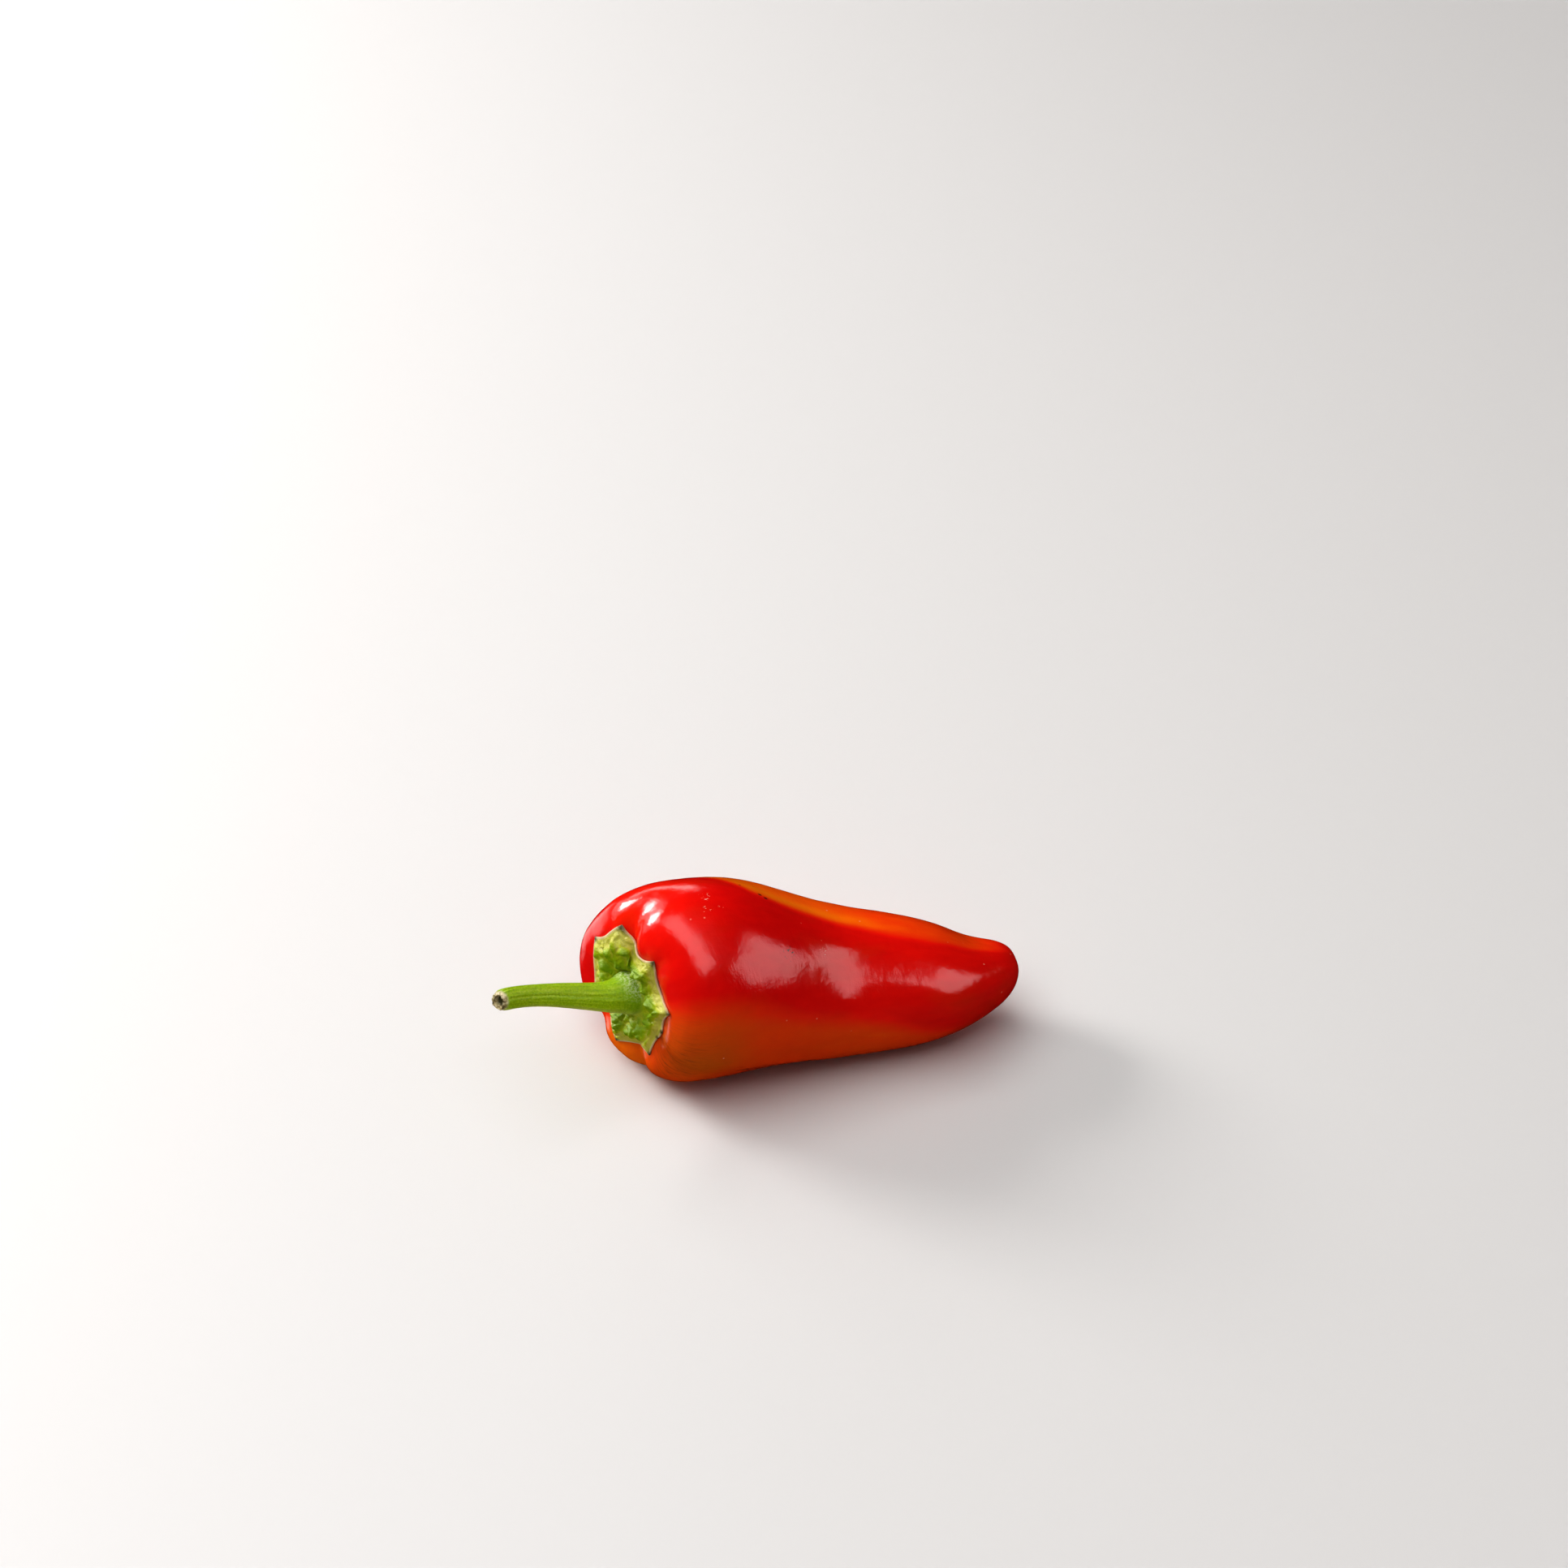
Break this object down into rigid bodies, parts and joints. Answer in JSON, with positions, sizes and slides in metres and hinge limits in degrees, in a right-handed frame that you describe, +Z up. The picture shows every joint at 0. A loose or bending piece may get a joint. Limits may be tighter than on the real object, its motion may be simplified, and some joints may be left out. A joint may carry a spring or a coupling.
{
  "type": "mini sweet pepper",
  "caption": "Whole ripe mini sweet pepper, red with an orange flush, with its green calyx and cut stem, lying on its side.",
  "frame": {"origin": "middle of the base of the bounding box, on the surface that the pepper lies on", "axes": "+X along the pepper towards its blossom end, with the stem towards -X; +Z up; -Y is the side that the camera sees"},
  "size_m": [0.0992, 0.038, 0.0376],
  "materials": {
    "fruit_skin": "smooth waxy pepper skin, glossy, deep red with an orange flush",
    "calyx_green": "wrinkled green calyx, moist and half glossy",
    "stem_green": "fine-ribbed green stem, satin, with a dried cut end"
  },
  "bodies": {
    "root": {"fruit": "fruit_skin", "calyx": "calyx_green", "stem": "stem_green"}
  },
  "joints": []
}
